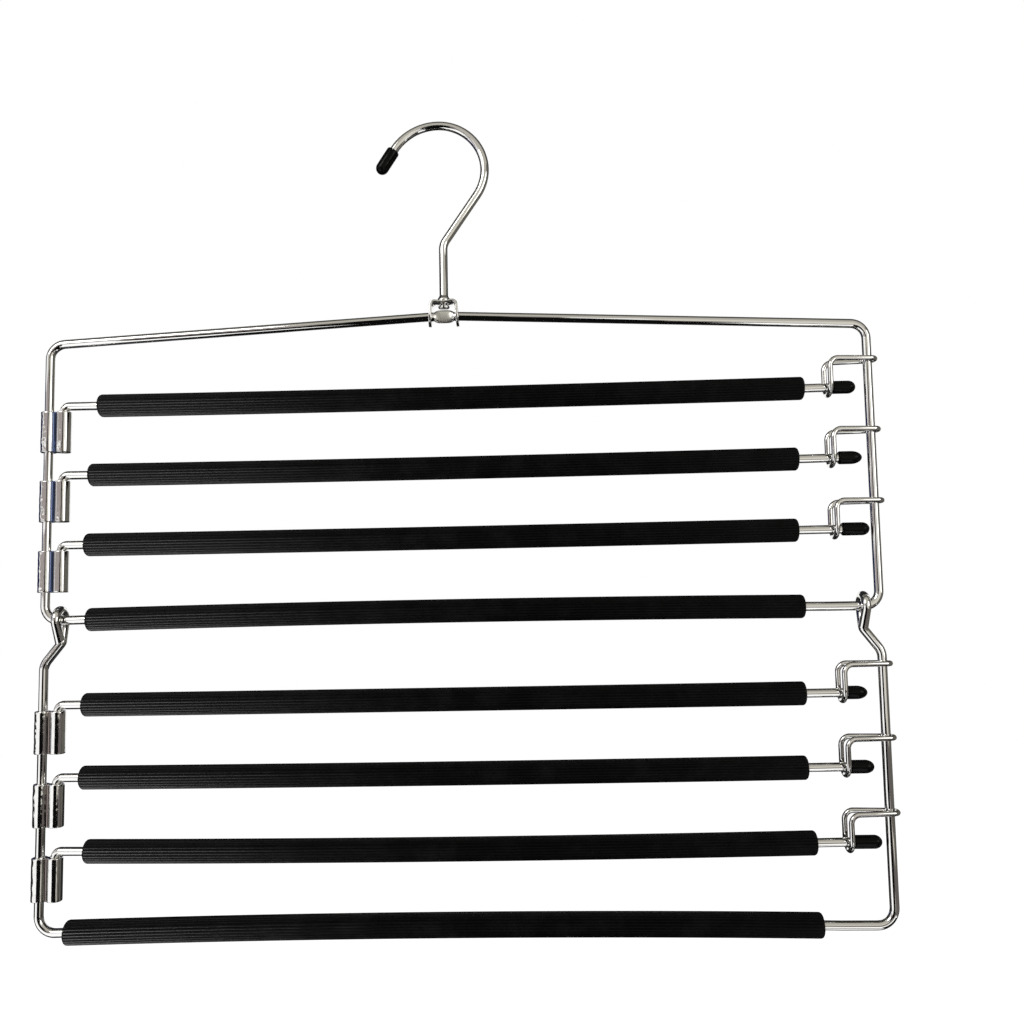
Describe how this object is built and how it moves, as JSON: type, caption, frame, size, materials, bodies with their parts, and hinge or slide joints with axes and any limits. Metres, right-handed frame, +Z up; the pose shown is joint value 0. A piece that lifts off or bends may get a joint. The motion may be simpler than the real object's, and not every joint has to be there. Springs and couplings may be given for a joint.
{
  "type": "trouser hanger",
  "caption": "Tiered chrome wire trouser hanger: swivel hook, foam-covered bars that swing out of end keepers, and a lower frame linked to the upper one by eyes.",
  "frame": {"origin": "the rail saddle: the inside top of the hook's bend, where it hangs on a wardrobe rail", "axes": "+X along the bars from their pivots to their free ends, -Y the front, +Z up"},
  "size_m": [0.4047, 0.0138, 0.3927],
  "materials": {
    "chrome_wire": "bright chrome plate on steel wire",
    "black_foam": "matte fluted closed-cell foam",
    "black_vinyl": "glossy dipped vinyl"
  },
  "bodies": {
    "hook": {"hook": "chrome_wire", "hook_tip_cap": "black_vinyl"},
    "yoke": {"yoke": "chrome_wire"},
    "upper_frame": {"upper_frame": "chrome_wire", "foam_sleeve_4": "black_foam", "pivot_clip_1": "chrome_wire", "pivot_clip_2": "chrome_wire", "pivot_clip_3": "chrome_wire", "keeper_1": "chrome_wire", "keeper_2": "chrome_wire", "keeper_3": "chrome_wire"},
    "lower_frame": {"lower_frame": "chrome_wire", "foam_sleeve_8": "black_foam", "pivot_clip_5": "chrome_wire", "pivot_clip_6": "chrome_wire", "pivot_clip_7": "chrome_wire", "keeper_5": "chrome_wire", "keeper_6": "chrome_wire", "keeper_7": "chrome_wire"},
    "bar_1": {"swing_bar_1": "chrome_wire", "foam_sleeve_1": "black_foam", "bar_end_cap_1": "black_vinyl"},
    "bar_2": {"swing_bar_2": "chrome_wire", "foam_sleeve_2": "black_foam", "bar_end_cap_2": "black_vinyl"},
    "bar_3": {"swing_bar_3": "chrome_wire", "foam_sleeve_3": "black_foam", "bar_end_cap_3": "black_vinyl"},
    "bar_5": {"swing_bar_5": "chrome_wire", "foam_sleeve_5": "black_foam", "bar_end_cap_5": "black_vinyl"},
    "bar_6": {"swing_bar_6": "chrome_wire", "foam_sleeve_6": "black_foam", "bar_end_cap_6": "black_vinyl"},
    "bar_7": {"swing_bar_7": "chrome_wire", "foam_sleeve_7": "black_foam", "bar_end_cap_7": "black_vinyl"}
  },
  "joints": [
    {"name": "hook_swivel", "type": "hinge", "parent": "hook", "child": "yoke", "pos_m": [0.002, 0, -0.0874], "axis": [0, 0, 1], "continuous": true},
    {"name": "yoke_tilt", "type": "hinge", "parent": "yoke", "child": "upper_frame", "pos_m": [0.002, 0, -0.0943], "axis": [-1, 0, 0], "range_deg": [-90, 90]},
    {"name": "lower_fold", "type": "hinge", "parent": "upper_frame", "child": "lower_frame", "pos_m": [0.0063, 0, -0.2378], "axis": [1, 0, 0], "range_deg": [-150, 150]},
    {"name": "bar_1_swing", "type": "hinge", "parent": "upper_frame", "child": "bar_1", "pos_m": [-0.1845, 0, -0.1339], "axis": [0, 0, -1], "range_deg": [-120, 120]},
    {"name": "bar_2_swing", "type": "hinge", "parent": "upper_frame", "child": "bar_2", "pos_m": [-0.1845, 0, -0.1678], "axis": [0, 0, -1], "range_deg": [-120, 120]},
    {"name": "bar_3_swing", "type": "hinge", "parent": "upper_frame", "child": "bar_3", "pos_m": [-0.1845, 0, -0.2017], "axis": [0, 0, -1], "range_deg": [-120, 120]},
    {"name": "bar_5_swing", "type": "hinge", "parent": "lower_frame", "child": "bar_5", "pos_m": [-0.1845, 0, -0.27782], "axis": [0, 0, -1], "range_deg": [-120, 120]},
    {"name": "bar_6_swing", "type": "hinge", "parent": "lower_frame", "child": "bar_6", "pos_m": [-0.1845, 0, -0.31172], "axis": [0, 0, -1], "range_deg": [-120, 120]},
    {"name": "bar_7_swing", "type": "hinge", "parent": "lower_frame", "child": "bar_7", "pos_m": [-0.1845, 0, -0.34562], "axis": [0, 0, -1], "range_deg": [-120, 120]}
  ]
}
